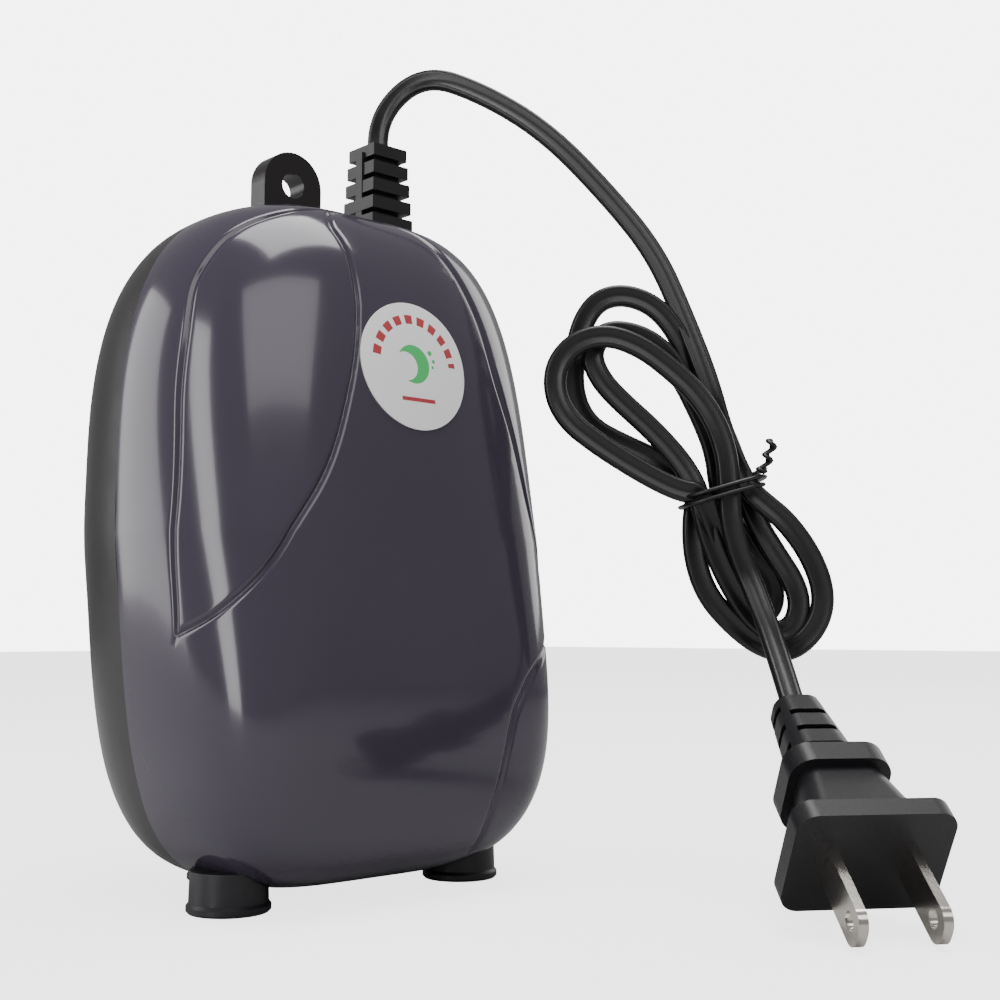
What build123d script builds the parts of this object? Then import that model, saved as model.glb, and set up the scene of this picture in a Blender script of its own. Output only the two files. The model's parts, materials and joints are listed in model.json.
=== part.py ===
from build123d import *
import os
from math import cos, sin, pi, tan

os.makedirs("parts", exist_ok=True)

# ---- driving dimensions, millimetres ----
bodyWidth = 82.0
bodyTop = 121.0
bodyBottom = 2.4
widestZ = 61.4
frontDepth = 30.4
rearDepth = 32.0
seamY = -2.0
frontLean = 0.06
wall = 2.2
footX = 24.8
footRearX = 8.7
footFrontY = -12.6
footRearY = 14.6
inletY = 2.7
lowerTaper = 0.12
footDiameter = 13.8
footPocketZ = 6.8
tabWidth = 13.0
tabThickness = 4.8
tabHoleDiameter = 5.0
tabHoleZ = bodyTop + 10.0
tabFrontY = 8.3
labelDiameter = 22.4
labelZ = bodyTop - 30.6
reliefX = 22.5
reliefY = 11.0
reliefTopZ = bodyTop + 22.7
reliefSeatZ = bodyTop - 2.5
cordWidth = 4.2
cordThick = 2.5
mechY = 6.0
coreWidth = 44.0
coreDepth = 16.0
pivotZ = 29.0
pumpAxisZ = 50.0
chamberDiameter = 30.0
nozzleDiameter = 5.0
spigotStartX = 41.5
spigotLength = 8.0
# ---- named clearances, per side ----
runningFit = 0.05
looseFit = 0.3
slipFit = 0.1

halfWidth = bodyWidth / 2
riseTop = bodyTop - widestZ
riseBottom = widestZ - bodyBottom


def outline(u, rear, inset, closeUp=0.0):
    """Points of one section outline, in the section plane."""
    points = []
    for i in range(36):
        angle = 2 * pi * i / 36
        c = cos(angle)
        s = sin(angle)
        power = 3.4 if s > 0 else 4.6
        reach = (abs(c) ** power + abs(s) ** power) ** (-1 / power)
        ux = reach * c
        uz = reach * s
        x = (halfWidth - inset) * ux * (1 + lowerTaper * min(uz, 0))
        z = (riseTop - inset if s > 0 else riseBottom - inset) * uz
        if rear:
            w = (1 - u ** 2.7) ** (1 / 2.7)
            points.append((x * w, z * w))
        else:
            low = (1 - u ** 6.5) ** (1 / 6.5)
            high = (1 - u ** 1.95) ** (1 / 1.95)
            k = (uz + 1) / 2
            if s > 0:
                zScale = (1 - u ** 3.4) ** (1 / 3.4)
            else:
                zScale = (1 - u ** 4.0) ** (1 / 4.0)
            lean = (1 + (u * frontLean) ** 2) ** 0.5
            points.append((x * (low * (1 - k) + high * k), z * zScale * lean))
    return points


frontLevels = [0.0, 0.2, 0.4, 0.6, 0.75, 0.86, 0.93, 0.97, 0.99, 0.998]
rearLevels = [0.0, 0.2, 0.4, 0.58, 0.72, 0.83, 0.9, 0.95]


def frontPlane(u, inset):
    y = seamY - u * (frontDepth - inset)
    return Plane(origin=(0, y, widestZ), x_dir=(1, 0, 0), z_dir=(0, -1, u * frontLean))


def rearPlane(u, inset):
    y = seamY + u * (rearDepth - inset)
    return Plane(origin=(0, y, widestZ), x_dir=(1, 0, 0), z_dir=(0, -1, 0))


# ---- skins: outer and inner volumes of both shell halves ----
with BuildPart() as frontOuter:
    for u in frontLevels:
        with BuildSketch(frontPlane(u, 0)):
            with BuildLine():
                Spline(*outline(u, False, 0), periodic=True)
            make_face()
    loft()
with BuildPart() as frontInner:
    for u in frontLevels:
        with BuildSketch(frontPlane(u, wall)):
            with BuildLine():
                Spline(*outline(u, False, wall), periodic=True)
            make_face()
    loft()
with BuildPart() as rearOuter:
    for u in rearLevels:
        with BuildSketch(rearPlane(u, 0)):
            with BuildLine():
                Spline(*outline(u, True, 0), periodic=True)
            make_face()
    loft()
with BuildPart() as rearInner:
    for u in rearLevels:
        with BuildSketch(rearPlane(u, wall)):
            with BuildLine():
                Spline(*outline(u, True, wall), periodic=True)
            make_face()
    loft()
print("skins", round(frontOuter.part.volume), round(frontInner.part.volume),
      round(rearOuter.part.volume), round(rearInner.part.volume))

bossSpots = [(x * 29.0, z) for x in (-1, 1) for z in (22.0, bodyTop - 21.0)]
frontFeet = [(-footX, footFrontY), (footX, footFrontY)]
rearFeet = [(-footRearX, footRearY), (footRearX, footRearY)]
pocketRadius = footDiameter / 2 + looseFit
stemRadius = 2.0
screwRadius = 1.45
headRadius = 2.7
headSeatY = 14.0

# ---- front cover ----
with BuildPart() as front_cover:
    add(frontOuter.part)
    add(frontInner.part, mode=Mode.SUBTRACT)
    with BuildPart(mode=Mode.PRIVATE) as frontExtras:
        for x, z in bossSpots:
            with Locations(Plane(origin=(x, seamY - 0.15, z), x_dir=(1, 0, 0), z_dir=(0, -1, 0))):
                Cylinder(3.6, 40, align=(Align.CENTER, Align.CENTER, Align.MIN))
        for x, y in frontFeet:
            with Locations((x, y, 0)):
                Cylinder(pocketRadius + 1.8, 9.2, align=(Align.CENTER, Align.CENTER, Align.MIN))
        add(frontOuter.part, mode=Mode.INTERSECT)
    add(frontExtras.part)
    for x, z in bossSpots:
        with Locations(Plane(origin=(x, seamY, z), x_dir=(1, 0, 0), z_dir=(0, -1, 0))):
            Cylinder(screwRadius + 0.05, 12, align=(Align.CENTER, Align.CENTER, Align.MIN),
                     mode=Mode.SUBTRACT)
    for x, y in frontFeet:
        with Locations((x, y, -1)):
            Cylinder(pocketRadius, footPocketZ + 1, align=(Align.CENTER, Align.CENTER, Align.MIN),
                     mode=Mode.SUBTRACT)
            Cylinder(stemRadius + slipFit, 12, align=(Align.CENTER, Align.CENTER, Align.MIN),
                     mode=Mode.SUBTRACT)
        with Locations((x, y, 9.2)):
            Cylinder(3.4, 3.6, align=(Align.CENTER, Align.CENTER, Align.MIN), mode=Mode.SUBTRACT)
front_cover.part.label = "front_cover"
export_step(front_cover.part, "parts/front_cover.step")

# ---- rear shell with hanging tab ----
nozzleY = 11.5
inletHoles = [(x, y) for x in (-7.0, 0.0, 7.0) for y in (inletY - 1.5, inletY + 1.5)]
corePosts = [(-17.5, 100.0), (17.5, 100.0)]
lugPosts = [(23.0, 31.5), (23.0, 68.5)]
bracketPosts = [(-9.5, 19.0), (9.5, 19.0)]
with BuildPart() as rear_shell:
    add(rearOuter.part)
    add(rearInner.part, mode=Mode.SUBTRACT)
    with BuildPart(mode=Mode.PRIVATE) as rearExtras:
        for x, z in bossSpots:
            with Locations(Plane(origin=(x, seamY + 0.15, z), x_dir=(1, 0, 0), z_dir=(0, 1, 0))):
                Cylinder(4.6, 34, align=(Align.CENTER, Align.CENTER, Align.MIN))
        for x, z in corePosts:
            with Locations(Plane(origin=(x, 14.1, z), x_dir=(1, 0, 0), z_dir=(0, 1, 0))):
                Cylinder(3.2, 20, align=(Align.CENTER, Align.CENTER, Align.MIN))
        for x, z in lugPosts + bracketPosts:
            with Locations(Plane(origin=(x, 17.6, z), x_dir=(1, 0, 0), z_dir=(0, 1, 0))):
                Cylinder(3.0, 20, align=(Align.CENTER, Align.CENTER, Align.MIN))
        for x, y in rearFeet:
            with Locations((x, y, 0)):
                Cylinder(pocketRadius + 1.8, 9.2, align=(Align.CENTER, Align.CENTER, Align.MIN))
        with Locations((0, inletY, 0)):
            Box(26, 9.2, 10.8, align=(Align.CENTER, Align.CENTER, Align.MIN))
        add(rearOuter.part, mode=Mode.INTERSECT)
    add(rearExtras.part)
    with Locations((reliefX, reliefY, reliefSeatZ - 6)):
        Box(13, 13, 6, align=(Align.CENTER, Align.CENTER, Align.MIN))
    with BuildSketch(Plane(origin=(0, tabFrontY, 0), x_dir=(1, 0, 0), z_dir=(0, -1, 0))):
        with Locations((0, tabHoleZ - 10.5)):
            Rectangle(tabWidth, 21.0)
        with Locations((0, tabHoleZ)):
            Circle(tabWidth / 2)
            Circle(tabHoleDiameter / 2, mode=Mode.SUBTRACT)
    extrude(amount=-tabThickness)
    for x, z in bossSpots:
        with Locations(Plane(origin=(x, seamY, z), x_dir=(1, 0, 0), z_dir=(0, 1, 0))):
            Cylinder(screwRadius + 0.3, 40, align=(Align.CENTER, Align.CENTER, Align.MIN),
                     mode=Mode.SUBTRACT)
        with Locations(Plane(origin=(x, headSeatY, z), x_dir=(1, 0, 0), z_dir=(0, 1, 0))):
            Cylinder(headRadius + 0.5, 40, align=(Align.CENTER, Align.CENTER, Align.MIN),
                     mode=Mode.SUBTRACT)
    for x, z in corePosts:
        with Locations(Plane(origin=(x, 14.0, z), x_dir=(1, 0, 0), z_dir=(0, 1, 0))):
            Cylinder(screwRadius + 0.05, 9, align=(Align.CENTER, Align.CENTER, Align.MIN),
                     mode=Mode.SUBTRACT)
    for x, z in lugPosts + bracketPosts:
        with Locations(Plane(origin=(x, 17.0, z), x_dir=(1, 0, 0), z_dir=(0, 1, 0))):
            Cylinder(1.25, 7, align=(Align.CENTER, Align.CENTER, Align.MIN), mode=Mode.SUBTRACT)
    for x, y in rearFeet:
        with Locations((x, y, -1)):
            Cylinder(pocketRadius, footPocketZ + 1, align=(Align.CENTER, Align.CENTER, Align.MIN),
                     mode=Mode.SUBTRACT)
            Cylinder(stemRadius + slipFit, 12, align=(Align.CENTER, Align.CENTER, Align.MIN),
                     mode=Mode.SUBTRACT)
        with Locations((x, y, 9.2)):
            Cylinder(3.4, 3.6, align=(Align.CENTER, Align.CENTER, Align.MIN), mode=Mode.SUBTRACT)
    with Locations((reliefX, reliefY, reliefSeatZ)):
        Box(11.2, 11.2, 6, align=(Align.CENTER, Align.CENTER, Align.MIN), mode=Mode.SUBTRACT)
    with Locations((reliefX, reliefY, reliefSeatZ - 10.5)):
        Box(6.6, 6.6, 12, align=(Align.CENTER, Align.CENTER, Align.MIN), mode=Mode.SUBTRACT)
        Box(8.6, 8.6, 4.5, align=(Align.CENTER, Align.CENTER, Align.MIN), mode=Mode.SUBTRACT)
    with Locations((0, inletY, 0)):
        Box(22.2, 6.4, 8.6, align=(Align.CENTER, Align.CENTER, Align.MIN), mode=Mode.SUBTRACT)
    for x, y in inletHoles:
        with Locations((x, y, 8)):
            Cylinder(0.9, 4, align=(Align.CENTER, Align.CENTER, Align.MIN), mode=Mode.SUBTRACT)
    with Locations(Plane(origin=(30, nozzleY, pumpAxisZ), x_dir=(0, 1, 0), z_dir=(1, 0, 0))):
        Cylinder(nozzleDiameter / 2 + 1.0, 16, align=(Align.CENTER, Align.CENTER, Align.MIN),
                 mode=Mode.SUBTRACT)
print("front solids", len(front_cover.part.solids()), "rear solids", len(rear_shell.part.solids()))
rear_shell.part.label = "rear_shell"
export_step(rear_shell.part, "parts/rear_shell.step")

# ---- round label on the front ----
with BuildPart() as front_label:
    with Locations(Plane(origin=(-0.4, -22, labelZ), x_dir=(1, 0, 0), z_dir=(0, -1, 0))):
        Cylinder(labelDiameter / 2, 14, align=(Align.CENTER, Align.CENTER, Align.MIN))
    add(frontOuter.part, mode=Mode.SUBTRACT)
    add(frontOuter.part.moved(Location((0, -0.25, 0))), mode=Mode.INTERSECT)
front_label.part.label = "front_label"
export_step(front_label.part, "parts/front_label.step")

# ---- feet, one node each ----
feet = {"foot_front_left": frontFeet[0], "foot_front_right": frontFeet[1],
        "foot_rear_left": rearFeet[0], "foot_rear_right": rearFeet[1]}
for name, (x, y) in feet.items():
    with BuildPart() as foot:
        with BuildSketch(Plane(origin=(x, y, 0), x_dir=(1, 0, 0), z_dir=(0, -1, 0))):
            with BuildLine():
                Polyline((0, 0.8), (2.8, 0.8), (3.4, 0), (6.5, 0), (6.9, 0.4), (6.9, 1.2), (6.5, 1.7),
                         (6.35, footPocketZ), (stemRadius, footPocketZ), (stemRadius, 9.3), (3.0, 9.3),
                         (1.7, 12.2), (0, 12.2), close=True)
            make_face()
        revolve(axis=Axis((x, y, 0), (0, 0, 1)))
    foot.part.label = name
    export_step(foot.part, "parts/" + name + ".step")

# ---- case screws, one node of four ----
with BuildPart() as case_screws:
    for x, z in bossSpots:
        with Locations(Plane(origin=(x, headSeatY + 2.0, z), x_dir=(1, 0, 0), z_dir=(0, -1, 0))):
            Cylinder(headRadius, 2.0, align=(Align.CENTER, Align.CENTER, Align.MIN))
            Cylinder(screwRadius, 27.0, align=(Align.CENTER, Align.CENTER, Align.MIN))
            Box(3.6, 0.8, 0.8, align=(Align.CENTER, Align.CENTER, Align.MIN), mode=Mode.SUBTRACT)
            Box(0.8, 3.6, 0.8, align=(Align.CENTER, Align.CENTER, Align.MIN), mode=Mode.SUBTRACT)
case_screws.part.label = "case_screws"
export_step(case_screws.part, "parts/case_screws.step")

# ---- inlet filter and its retainer, pressed into the pocket under the rear shell ----
with BuildPart() as inlet_filter:
    with Locations((0, inletY, 5.7)):
        Box(21.8, 6.0, 2.8, align=(Align.CENTER, Align.CENTER, Align.MIN))
inlet_filter.part.label = "inlet_filter"
export_step(inlet_filter.part, "parts/inlet_filter.step")
with BuildPart() as filter_retainer:
    with Locations((0, inletY, 4.3)):
        Box(22.0, 6.2, 1.3, align=(Align.CENTER, Align.CENTER, Align.MIN))
    for i in range(5):
        with Locations((-8 + 4 * i, inletY, 4)):
            Box(1.4, 4.0, 2, align=(Align.CENTER, Align.CENTER, Align.MIN), mode=Mode.SUBTRACT)
filter_retainer.part.label = "filter_retainer"
export_step(filter_retainer.part, "parts/filter_retainer.step")

# ---- strain relief with four tapering fins above a collar, and an inner flange ----
with BuildPart() as strain_relief:
    with Locations((reliefX, reliefY, reliefSeatZ + 0.1)):
        Box(10.6, 10.6, 3.4, align=(Align.CENTER, Align.CENTER, Align.MIN))
    with Locations((reliefX, reliefY, reliefSeatZ - 8.5)):
        Box(8.0, 8.0, 2.4, align=(Align.CENTER, Align.CENTER, Align.MIN))
        Box(6.3, 6.3, 9.0, align=(Align.CENTER, Align.CENTER, Align.MIN))
    with Locations((reliefX, reliefY, reliefSeatZ + 0.1)):
        Box(5.4, 5.6, reliefTopZ - reliefSeatZ - 0.7, align=(Align.CENTER, Align.CENTER, Align.MIN))
        Box(9.6, 2.0, reliefTopZ - reliefSeatZ - 1.5, align=(Align.CENTER, Align.CENTER, Align.MIN))
    for i in range(6):
        size = 8.4 + 0.45 * i
        with Locations((reliefX, reliefY, reliefTopZ - 2.5 - 3.7 * i)):
            Box(size, size, 2.5, align=(Align.CENTER, Align.CENTER, Align.MIN))
    with Locations((reliefX, reliefY, reliefSeatZ - 9.5)):
        Box(cordWidth + 0.1, cordThick + 0.1, 40, align=(Align.CENTER, Align.CENTER, Align.MIN),
            mode=Mode.SUBTRACT)
strain_relief.part.label = "strain_relief"
export_step(strain_relief.part, "parts/strain_relief.step")

# ---- electromagnet ----
legBottom = 76.0
yokeBottom = 95.5
yokeTop = 104.0
coreFrontY = mechY - coreDepth / 2
with BuildPart() as magnet_core:
    with BuildSketch(Plane(origin=(0, coreFrontY, 0), x_dir=(1, 0, 0), z_dir=(0, -1, 0))):
        with Locations((0, (yokeBottom + yokeTop) / 2)):
            Rectangle(coreWidth, yokeTop - yokeBottom)
        with Locations((0, (legBottom + yokeTop) / 2)):
            Rectangle(10, yokeTop - legBottom)
        with Locations((-18.5, (legBottom + yokeTop) / 2), (18.5, (legBottom + yokeTop) / 2)):
            Rectangle(7, yokeTop - legBottom)
        with Locations((-17.5, 100), (17.5, 100)):
            Circle(screwRadius + 0.3, mode=Mode.SUBTRACT)
    extrude(amount=-coreDepth)
magnet_core.part.label = "magnet_core"
export_step(magnet_core.part, "parts/magnet_core.step")

with BuildPart() as coil_bobbin:
    with Locations((0, mechY, 77.0)):
        Box(12.2, 18.2, 18.2, align=(Align.CENTER, Align.CENTER, Align.MIN))
        Box(29.4, 31.0, 1.2, align=(Align.CENTER, Align.CENTER, Align.MIN))
    with Locations((0, mechY, 94.0)):
        Box(29.4, 31.0, 1.2, align=(Align.CENTER, Align.CENTER, Align.MIN))
    with Locations((0, mechY, 76.0)):
        Box(10.3, 16.3, 21.0, align=(Align.CENTER, Align.CENTER, Align.MIN), mode=Mode.SUBTRACT)
coil_bobbin.part.label = "coil_bobbin"
export_step(coil_bobbin.part, "parts/coil_bobbin.step")

with BuildPart() as coil_winding:
    with Locations((0, mechY, 78.3)):
        Box(26.4, 28.4, 15.6, align=(Align.CENTER, Align.CENTER, Align.MIN))
    fillet(coil_winding.edges().filter_by(Axis.Z), 3.0)
    with Locations((0, mechY, 78.0)):
        Box(12.3, 18.3, 17.0, align=(Align.CENTER, Align.CENTER, Align.MIN), mode=Mode.SUBTRACT)
coil_winding.part.label = "coil_winding"
export_step(coil_winding.part, "parts/coil_winding.step")

with BuildPart() as coil_tape:
    with Locations((0, mechY, 79.5)):
        Box(27.4, 29.4, 13.0, align=(Align.CENTER, Align.CENTER, Align.MIN))
    fillet(coil_tape.edges().filter_by(Axis.Z), 3.4)
    with BuildPart(mode=Mode.PRIVATE) as tapeCore:
        with Locations((0, mechY, 79.0)):
            Box(26.5, 28.5, 14.0, align=(Align.CENTER, Align.CENTER, Align.MIN))
        fillet(tapeCore.edges().filter_by(Axis.Z), 3.0)
    add(tapeCore.part, mode=Mode.SUBTRACT)
coil_tape.part.label = "coil_tape"
export_step(coil_tape.part, "parts/coil_tape.step")

with BuildPart() as core_screws:
    for x, z in corePosts:
        with Locations(Plane(origin=(x, coreFrontY - 2.1, z), x_dir=(1, 0, 0), z_dir=(0, 1, 0))):
            Cylinder(headRadius, 2.0, align=(Align.CENTER, Align.CENTER, Align.MIN))
            Cylinder(screwRadius, 25.5, align=(Align.CENTER, Align.CENTER, Align.MIN))
            Box(3.6, 0.8, 0.8, align=(Align.CENTER, Align.CENTER, Align.MIN), mode=Mode.SUBTRACT)
            Box(0.8, 3.6, 0.8, align=(Align.CENTER, Align.CENTER, Align.MIN), mode=Mode.SUBTRACT)
core_screws.part.label = "core_screws"
export_step(core_screws.part, "parts/core_screws.step")

# ---- swinging arm with its magnet ----
pinRadius = 1.5
bushRadius = 3.0
with BuildPart() as armature_arm:
    with Locations(Plane(origin=(0, 0.2, pivotZ), x_dir=(1, 0, 0), z_dir=(0, 1, 0))):
        Cylinder(5.0, 11.6, align=(Align.CENTER, Align.CENTER, Align.MIN))
    with Locations((0, mechY, pivotZ + 3)):
        Box(2.4, 11.6, 63.5 - pivotZ, align=(Align.CENTER, Align.CENTER, Align.MIN))
    with Locations((0, mechY, 65.0)):
        Box(14.4, 11.6, 6.0, align=(Align.CENTER, Align.CENTER, Align.MIN))
    with Locations((0, mechY, 67.0)):
        Box(12.02, 9.02, 6.0, align=(Align.CENTER, Align.CENTER, Align.MIN), mode=Mode.SUBTRACT)
    with Locations(Plane(origin=(1.0, mechY, pumpAxisZ), x_dir=(0, 1, 0), z_dir=(1, 0, 0))):
        Cylinder(3.4, 1.6, align=(Align.CENTER, Align.CENTER, Align.MIN))
    with Locations(Plane(origin=(-2, mechY, pumpAxisZ), x_dir=(0, 1, 0), z_dir=(1, 0, 0))):
        Cylinder(1.3, 6, align=(Align.CENTER, Align.CENTER, Align.MIN), mode=Mode.SUBTRACT)
    with Locations(Plane(origin=(0, -1, pivotZ), x_dir=(1, 0, 0), z_dir=(0, 1, 0))):
        Cylinder(bushRadius, 14, align=(Align.CENTER, Align.CENTER, Align.MIN), mode=Mode.SUBTRACT)
armature_arm.part.label = "armature_arm"
export_step(armature_arm.part, "parts/armature_arm.step")

with BuildPart() as arm_bush:
    with Locations(Plane(origin=(0, 0.0, pivotZ), x_dir=(1, 0, 0), z_dir=(0, 1, 0))):
        Cylinder(bushRadius - 0.01, 12.0, align=(Align.CENTER, Align.CENTER, Align.MIN))
        Cylinder(pinRadius + runningFit, 12.0, align=(Align.CENTER, Align.CENTER, Align.MIN),
                 mode=Mode.SUBTRACT)
arm_bush.part.label = "arm_bush"
export_step(arm_bush.part, "parts/arm_bush.step")

with BuildPart() as armature_magnet:
    with Locations((0, mechY, 67.0)):
        Box(12.0, 9.0, 6.0, align=(Align.CENTER, Align.CENTER, Align.MIN))
    chamfer(armature_magnet.edges().group_by(Axis.Z)[-1], 0.4)
armature_magnet.part.label = "armature_magnet"
export_step(armature_magnet.part, "parts/armature_magnet.step")

with BuildPart() as pivot_pin:
    with Locations(Plane(origin=(0, -3.2, pivotZ), x_dir=(1, 0, 0), z_dir=(0, 1, 0))):
        Cylinder(pinRadius, 18.4, align=(Align.CENTER, Align.CENTER, Align.MIN))
pivot_pin.part.label = "pivot_pin"
export_step(pivot_pin.part, "parts/pivot_pin.step")

with BuildPart() as pivot_bracket:
    with Locations((0, 6.35, 20.0)):
        Box(12, 18.3, 2.4, align=(Align.CENTER, Align.CENTER, Align.MIN))
    for y in (-1.6, 13.6):
        with Locations((0, y, 20.0)):
            Box(9.6, 2.4, 14.0, align=(Align.CENTER, Align.CENTER, Align.MIN))
    with Locations((0, 16.4, 15.0)):
        Box(27, 2.2, 11.0, align=(Align.CENTER, Align.CENTER, Align.MIN))
    with Locations(Plane(origin=(0, -4, pivotZ), x_dir=(1, 0, 0), z_dir=(0, 1, 0))):
        Cylinder(pinRadius, 24, align=(Align.CENTER, Align.CENTER, Align.MIN), mode=Mode.SUBTRACT)
    for x, z in bracketPosts:
        with Locations(Plane(origin=(x, 15, z), x_dir=(1, 0, 0), z_dir=(0, 1, 0))):
            Cylinder(1.5, 4, align=(Align.CENTER, Align.CENTER, Align.MIN), mode=Mode.SUBTRACT)
pivot_bracket.part.label = "pivot_bracket"
export_step(pivot_bracket.part, "parts/pivot_bracket.step")

# ---- diaphragm: rubber bellows, washer and screw on the arm ----
bodyX = 12.0
with BuildPart() as diaphragm_bellows:
    with BuildSketch(Plane(origin=(0, mechY, pumpAxisZ), x_dir=(1, 0, 0), z_dir=(0, -1, 0))):
        with BuildLine():
            Polyline((2.7, 1.2), (2.7, 5.0), (5.6, 5.6), (6.2, 7.6), (9.4, 8.2), (10.2, 9.6), (10.9, 9.9),
                     (10.9, 14.4), (12.0, 14.4), (12.0, 9.2), (10.9, 8.8), (10.0, 7.2), (7.0, 6.8),
                     (6.4, 4.8), (3.7, 4.2), (3.7, 1.2), close=True)
        make_face()
    revolve(axis=Axis((0, mechY, pumpAxisZ), (1, 0, 0)))
diaphragm_bellows.part.label = "diaphragm_bellows"
export_step(diaphragm_bellows.part, "parts/diaphragm_bellows.step")

with BuildPart() as diaphragm_ring:
    with Locations(Plane(origin=(9.5, mechY, pumpAxisZ), x_dir=(0, 1, 0), z_dir=(1, 0, 0))):
        Cylinder(14.8, 1.4, align=(Align.CENTER, Align.CENTER, Align.MIN))
        Cylinder(11.2, 1.4, align=(Align.CENTER, Align.CENTER, Align.MIN), mode=Mode.SUBTRACT)
diaphragm_ring.part.label = "diaphragm_ring"
export_step(diaphragm_ring.part, "parts/diaphragm_ring.step")

with BuildPart() as diaphragm_washer:
    with Locations(Plane(origin=(3.7, mechY, pumpAxisZ), x_dir=(0, 1, 0), z_dir=(1, 0, 0))):
        Cylinder(3.6, 0.8, align=(Align.CENTER, Align.CENTER, Align.MIN))
        Cylinder(1.2, 0.8, align=(Align.CENTER, Align.CENTER, Align.MIN), mode=Mode.SUBTRACT)
diaphragm_washer.part.label = "diaphragm_washer"
export_step(diaphragm_washer.part, "parts/diaphragm_washer.step")

with BuildPart() as diaphragm_screw:
    with Locations(Plane(origin=(6.2, mechY, pumpAxisZ), x_dir=(0, 1, 0), z_dir=(-1, 0, 0))):
        Cylinder(2.2, 1.6, align=(Align.CENTER, Align.CENTER, Align.MIN))
        Cylinder(1.1, 9.4, align=(Align.CENTER, Align.CENTER, Align.MIN))
        Box(3.0, 0.6, 0.7, align=(Align.CENTER, Align.CENTER, Align.MIN), mode=Mode.SUBTRACT)
diaphragm_screw.part.label = "diaphragm_screw"
export_step(diaphragm_screw.part, "parts/diaphragm_screw.step")

# ---- valve chamber, built along X about the pump axis ----
plateX = 20.0
gasketX = 22.0
coverX = 22.6
coverEndX = 29.4
portOffset = 5.5
chamberRadius = chamberDiameter / 2
screwAngles = [pi / 4 + pi / 2 * i for i in range(4)]
screwSpots = [(mechY + 13.1 * cos(a), pumpAxisZ + 13.1 * sin(a)) for a in screwAngles]


def alongX(x, y, z):
    """A plane facing +X at the given point."""
    return Plane(origin=(x, y, z), x_dir=(0, 1, 0), z_dir=(1, 0, 0))


with BuildPart() as chamber_body:
    with Locations(alongX(bodyX, mechY, pumpAxisZ)):
        Cylinder(chamberRadius, plateX - bodyX, align=(Align.CENTER, Align.CENTER, Align.MIN))
    for x, z in lugPosts:
        with Locations((15.5 + 4.5, 16.1, z)):
            Box(13.5, 2.8, 6.4)
    with Locations((15.6, 16.1, pumpAxisZ)):
        Box(5.0, 2.8, 43.0)
    with Locations(alongX(bodyX - 1, mechY, pumpAxisZ)):
        Cylinder(11.0, plateX - bodyX + 2, align=(Align.CENTER, Align.CENTER, Align.MIN),
                 mode=Mode.SUBTRACT)
    for y, z in screwSpots:
        with Locations(alongX(13.0, y, z)):
            Cylinder(0.95, 8, align=(Align.CENTER, Align.CENTER, Align.MIN), mode=Mode.SUBTRACT)
    for x, z in lugPosts:
        with Locations(Plane(origin=(x, 14, z), x_dir=(1, 0, 0), z_dir=(0, 1, 0))):
            Cylinder(1.5, 5, align=(Align.CENTER, Align.CENTER, Align.MIN), mode=Mode.SUBTRACT)
chamber_body.part.label = "chamber_body"
export_step(chamber_body.part, "parts/chamber_body.step")

with BuildPart() as valve_plate:
    with Locations(alongX(plateX, mechY, pumpAxisZ)):
        Cylinder(chamberRadius, gasketX - plateX, align=(Align.CENTER, Align.CENTER, Align.MIN))
    with Locations((plateX - 0.7, mechY - portOffset, 55.6)):
        Box(2.0, 3.0, 2.2)
    with Locations((gasketX + 0.7, mechY + portOffset, 55.6)):
        Box(2.0, 3.0, 2.2)
    for y in (mechY - portOffset, mechY + portOffset):
        with Locations(alongX(plateX - 1, y, pumpAxisZ)):
            Cylinder(1.7, 4, align=(Align.CENTER, Align.CENTER, Align.MIN), mode=Mode.SUBTRACT)
    for y, z in screwSpots:
        with Locations(alongX(plateX - 1, y, z)):
            Cylinder(1.1, 4, align=(Align.CENTER, Align.CENTER, Align.MIN), mode=Mode.SUBTRACT)
valve_plate.part.label = "valve_plate"
export_step(valve_plate.part, "parts/valve_plate.step")

flaps = {"inlet_flap": (plateX - 0.9, mechY - portOffset), "outlet_flap": (gasketX + 0.3, mechY + portOffset)}
for name, (x, y) in flaps.items():
    with BuildPart() as flap:
        with BuildSketch(alongX(x, y, pumpAxisZ)):
            Circle(2.6)
            with Locations((0, 1.9)):
                Rectangle(3.0, 4.4)
        extrude(amount=0.6)
    flap.part.label = name
    export_step(flap.part, "parts/" + name + ".step")

with BuildPart() as chamber_gasket:
    with Locations(alongX(gasketX, mechY, pumpAxisZ)):
        Cylinder(chamberRadius - 0.2, coverX - gasketX, align=(Align.CENTER, Align.CENTER, Align.MIN))
        Cylinder(11.0, coverX - gasketX, align=(Align.CENTER, Align.CENTER, Align.MIN),
                 mode=Mode.SUBTRACT)
    with Locations((gasketX + 0.3, mechY, pumpAxisZ)):
        Box(0.6, 1.8, 22.4)
    for y, z in screwSpots:
        with Locations(alongX(gasketX - 1, y, z)):
            Cylinder(1.1, 4, align=(Align.CENTER, Align.CENTER, Align.MIN), mode=Mode.SUBTRACT)
chamber_gasket.part.label = "chamber_gasket"
export_step(chamber_gasket.part, "parts/chamber_gasket.step")

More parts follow.
